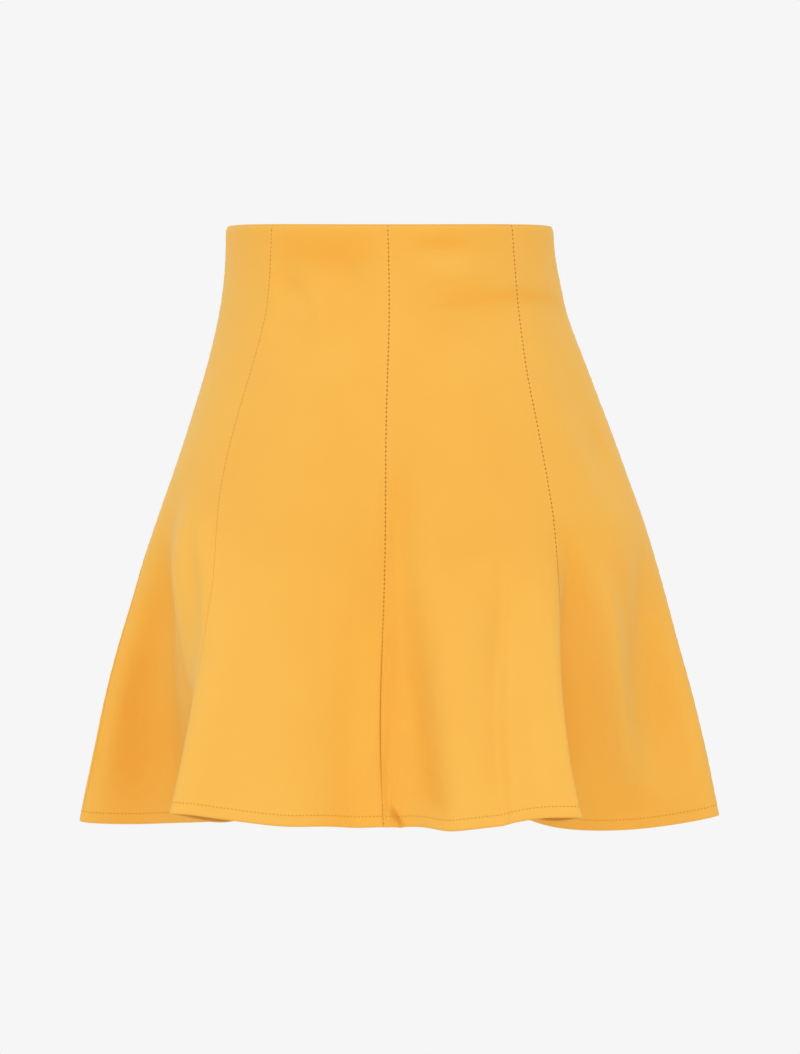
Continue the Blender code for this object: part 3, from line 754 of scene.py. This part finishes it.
def cloth_material():
    """Smooth crepe: a fine twill with a slightly pebbled face, a soft sheen at grazing angles, dents at its stitches,
    painted highlights beside the stitches, a painted shade line under the waist edge, and painted shade and highlight
    over its folds.
    """
    n = Nodes("cloth")
    place = n.tree.nodes.new("ShaderNodeAttribute")
    place.attribute_name = "place"
    at = n.new("ShaderNodeSeparateColor", Color=place.outputs["Color"]).outputs
    off, down, run, shown = at[0], at[1], at[2], place.outputs["Alpha"]
    look = n.tree.nodes.new("ShaderNodeAttribute")
    look.attribute_name = "look"
    seam_marks_and_painted_light = n.new("ShaderNodeSeparateColor", Color=look.outputs["Color"]).outputs

    weave_at = n.new("ShaderNodeCombineXYZ", X=run, Y=down).outputs[0]
    twill = n.math("SINE", n.math("ADD", n.math("MULTIPLY", run, 9.4), n.math("MULTIPLY", down, 12.1)))
    thread = n.math("SINE", n.math("ADD", n.math("MULTIPLY", run, 14.0), n.math("MULTIPLY", down, -7.5)))
    pebble = n.noise(weave_at, 1.1, 3.0, 0.6)
    slub = n.noise(weave_at, 0.16, 2.0)
    cloud = n.noise(weave_at, 0.022, 2.0)

    # stitches: a dent at each one in the seam, and a line where the seam is drawn in
    phase = n.math("SUBTRACT", n.math("FLOORED_MODULO", down, STITCH), STITCH / 2)
    reach = n.math("SQRT", n.math("ADD", n.math("POWER", off, 2.0), n.math("POWER", phase, 2.0)))
    dot = n.math("MULTIPLY", n.range(reach, 0.45, 1.05, 1.0, 0.0), n.math("MULTIPLY", seam_marks_and_painted_light[0], shown))
    line = n.math("MULTIPLY", n.range(off, 0.15, 0.9, 1.0, 0.0), n.math("MULTIPLY", seam_marks_and_painted_light[1], shown))
    # the hem's row of stitches
    from_row = n.math("ABSOLUTE", n.math("SUBTRACT", down, LENGTH - HEM_TURN))
    hem_phase = n.math("SUBTRACT", n.math("FLOORED_MODULO", run, HEM_STITCH), HEM_STITCH / 2)
    hem_reach = n.math("SQRT", n.math("ADD", n.math("POWER", from_row, 2.0), n.math("POWER", hem_phase, 2.0)))
    hem_dot = n.math("MULTIPLY", n.range(hem_reach, 0.3, 0.95, 0.4, 0.0), shown)
    hem_line = n.math("MULTIPLY", n.range(from_row, 0.1, 0.8, 0.08, 0.0), shown)
    dark = n.math("MAXIMUM", n.math("MAXIMUM", dot, line), n.math("MAXIMUM", hem_dot, hem_line))
    dark = n.math("MAXIMUM", dark, n.range(down, 1.0, 1.7, 0.3, 0.0))       # painted shade: a thin dark line just under the waist's pressed top edge
    # painted highlight: beside and between the stitches, where the drawn cloth stands up a little, the colour is made
    # paler as if it caught the light
    painted_stitch_highlight = n.math("MULTIPLY", n.range(off, 0.5, 2.0, 1.0, 0.0), n.math("MULTIPLY", seam_marks_and_painted_light[0], shown))

    colour = n.mix(n.range(cloud, 0.3, 0.7), (0.820, 0.406, 0.052, 1), (0.830, 0.416, 0.055, 1))
    colour = n.mix(n.range(pebble, 0.25, 0.75, 0.0, 0.35), colour, (0.780, 0.368, 0.045, 1))
    colour = n.mix(n.math("MULTIPLY", painted_stitch_highlight, 0.45), colour, (0.88, 0.47, 0.075, 1))
    colour = n.mix(n.math("MULTIPLY", dark, 0.8), colour, (0.62, 0.24, 0.004, 1))

    # painted shade: where the cloth faces down or lies in a trough its colour is made a darker, deeper orange, standing
    # in for the light that goes from cloth to cloth in the folds; painted highlight: where it faces up or stands out in
    # a ridge it is made paler
    painted_light = seam_marks_and_painted_light[2]
    shade = n.mix(n.range(painted_light, 0.0, 0.5, kind="LINEAR"), (1.0, 1.03, 1.12, 1), (1.0, 1.0, 1.0, 1))
    shade = n.mix(n.range(painted_light, 0.5, 1.0, kind="LINEAR"), shade, (1.02, 0.955, 0.74, 1))
    colour = n.mix(1.0, colour, shade, "MULTIPLY")

    height = n.math("MULTIPLY", twill, 0.016)
    height = n.math("ADD", height, n.math("MULTIPLY", thread, 0.010))
    height = n.math("ADD", height, n.math("MULTIPLY", pebble, 0.07))
    height = n.math("ADD", height, n.math("MULTIPLY", slub, 0.10))
    height = n.math("SUBTRACT", height, n.math("MULTIPLY", dark, 0.35))
    bump = n.new("ShaderNodeBump", Height=height, Distance=0.001, Strength=0.8)
    n.set(Base_Color=colour, Roughness=n.range(pebble, 0.2, 0.8, 0.62, 0.74, "LINEAR"), Normal=bump.outputs[0],
          Sheen_Weight=0.12, Sheen_Roughness=0.5, Sheen_Tint=(0.72, 1.0, 0.72, 1), Specular_IOR_Level=0.32)
    return n.material


def plain_material(name, colour, roughness, metallic=0.0, grain=300.0, mottle=0.14, **more):
    n = Nodes(name)
    where = n.tree.nodes.new("ShaderNodeTexCoord").outputs["Object"]
    speckle = n.noise(where, grain, 3.0)
    dark = tuple(c * (1 - mottle) for c in colour)
    bump = n.new("ShaderNodeBump", Height=speckle, Distance=0.00005, Strength=0.6)
    n.set(Base_Color=n.mix(n.range(speckle, 0.3, 0.7), (*dark, 1), (*colour, 1)), Normal=bump.outputs[0],
          Roughness=n.range(speckle, 0.3, 0.7, roughness - 0.05, roughness + 0.05, "LINEAR"), Metallic=metallic, **more)
    return n.material


# ------------------------------------------------------------------ light, floor and camera
BACKGROUND = 0.922           # what the camera sees behind the skirt
# The studio's soft light from all round, as a colour's strength towards six sides, blended smoothly between them.
AMBIENT = {"+X": (0.71, 0.83, 0.79), "-X": (0.86, 1.06, 1.12), "+Y": (0.92, 0.84, 0.78), "-Y": (0.98, 0.87, 0.78),
           "+Z": (1.25, 1.40, 1.50), "-Z": (0.55, 0.22, 0.05)}
# Soft boxes: turn to the right of the camera and height in degrees, distance and side in metres, strength in watts.
Lamp = namedtuple("Lamp", "name turn height away side watts")
LAMPS = [Lamp(*row) for row in (
    ("front",       0, 15, 3.3, 1.6, 12.0),
    ("left",      -45, 25, 3.0, 1.8,  4.0),
    ("right",      45, 25, 3.0, 1.8,  6.0),
)]


def studio():
    scene = bpy.context.scene
    scene.view_settings.view_transform = "Standard"
    world = bpy.data.worlds.new("studio")
    scene.world = world
    world.use_nodes = True
    tree = world.node_tree
    tree.nodes.clear()
    def math_node(operation, a, b):
        node = tree.nodes.new("ShaderNodeMath")
        node.operation = operation
        for socket, value in zip(node.inputs, (a, b)):
            if isinstance(value, bpy.types.NodeSocket):
                tree.links.new(value, socket)
            else:
                socket.default_value = value
        return node.outputs[0]

    out = tree.nodes.new("ShaderNodeOutputWorld")
    way = tree.nodes.new("ShaderNodeSeparateXYZ")
    tree.links.new(tree.nodes.new("ShaderNodeTexCoord").outputs["Generated"], way.inputs[0])
    soft = tree.nodes.new("ShaderNodeBackground")
    seen = tree.nodes.new("ShaderNodeBackground")
    seen.inputs[0].default_value = (1, 1, 1, 1)
    seen.inputs[1].default_value = BACKGROUND
    ambient = None
    for name, strength in AMBIENT.items():
        part = way.outputs["XYZ".index(name[1])]
        if name[0] == "-":
            part = math_node("MULTIPLY", part, -1.0)
        part = math_node("POWER", math_node("MAXIMUM", part, 0.0), 2.0)
        node = tree.nodes.new("ShaderNodeVectorMath")
        node.operation = "MULTIPLY_ADD"
        tree.links.new(part, node.inputs[0])
        node.inputs[1].default_value = strength
        if ambient:
            tree.links.new(ambient, node.inputs[2])
        ambient = node.outputs[0]
    tree.links.new(ambient, soft.inputs[0])
    mix = tree.nodes.new("ShaderNodeMixShader")
    tree.links.new(tree.nodes.new("ShaderNodeLightPath").outputs["Is Camera Ray"], mix.inputs[0])
    tree.links.new(soft.outputs[0], mix.inputs[1])
    tree.links.new(seen.outputs[0], mix.inputs[2])
    tree.links.new(mix.outputs[0], out.inputs[0])
    aim = Vector((0, 0, -0.21))
    for lamp in LAMPS:
        data = bpy.data.lights.new(lamp.name, "AREA")
        data.shape, data.size, data.energy = "DISK", lamp.side, lamp.watts
        obj = bpy.data.objects.new(lamp.name, data)
        scene.collection.objects.link(obj)
        turn, height = math.radians(lamp.turn), math.radians(lamp.height)
        way = Vector((math.sin(turn) * math.cos(height), -math.cos(turn) * math.cos(height), math.sin(height)))
        obj.location = aim + way * lamp.away
        obj.rotation_euler = way.to_track_quat("Z", "Y").to_euler()
        obj.visible_camera = False
    # a round pale floor, well below the hem as on a stand, out of the main view
    rings, sides, floor_z = (0.0, 1.2, 2.6, 4.2, 5.0), 96, -1200.0
    verts = [(0, 0, floor_z)] + [(r * 1000 * math.sin(a), r * 1000 * math.cos(a), floor_z)
                                 for r in rings[1:] for a in np.linspace(0, 2 * math.pi, sides, endpoint=False)]
    faces = [(0, 1 + (i + 1) % sides, 1 + i) for i in range(sides)]
    for j in range(len(rings) - 2):
        faces += [(1 + j * sides + i, 1 + j * sides + (i + 1) % sides,
                   1 + (j + 1) * sides + (i + 1) % sides, 1 + (j + 1) * sides + i) for i in range(sides)]
    floor = mesh_object("floor", verts, faces, plain_material("floor", (0.84, 0.77, 0.73), 0.95, grain=90.0, mottle=0.015))
    camera = bpy.data.objects.new("camera", bpy.data.cameras.new("camera"))
    scene.collection.objects.link(camera)
    scene.camera = camera
    camera.data.sensor_width = 36
    camera.data.lens = 36 * 3.5 / (1054 * 0.0007)
    camera.location = (0.00735, -3.5, -0.210)
    camera.rotation_euler = (math.radians(90), 0, 0)
    camera.data.clip_end = 100


# ------------------------------------------------------------------ the build
def main():
    cloth_look = cloth_material()
    for k, name in enumerate(GORES):
        piece = gore(k, cloth_look)
        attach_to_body(piece, BODY)
        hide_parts(name)
    thread = plain_material("thread", (0.55, 0.20, 0.002), 0.8, grain=2500.0, Specular_IOR_Level=0.2)
    pale_thread = plain_material("overlock", (0.84, 0.42, 0.06), 0.7, grain=2500.0)
    for piece in (seam_thread(thread), hem_thread(thread), overlock(pale_thread)):
        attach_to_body(piece, BODY)
    tape_look = plain_material("tape", (0.80, 0.36, 0.045), 0.75, grain=1800.0)
    coil_look = plain_material("coil", (0.78, 0.35, 0.05), 0.35, grain=1200.0)
    for side, end in ((-1, "left"), (1, "right")):
        piece = tape("tape_" + end, side, tape_look)
        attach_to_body(piece, BODY)
        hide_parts("zip_tape_" + end)
        row = coil("coil_" + end, side, coil_look)
        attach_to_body(row, BODY)
    lacquer = plain_material("lacquer", (0.72, 0.30, 0.035), 0.32, 0.25, grain=900.0)
    for node, body, edge in (("zip_slider", BODY, 0.22), ("zip_pull", PULL_BODY, 0.28)):
        piece = softened(node, node + "_shape", lacquer, edge)
        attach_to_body(piece, body)
        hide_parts(node)
    studio()


main()
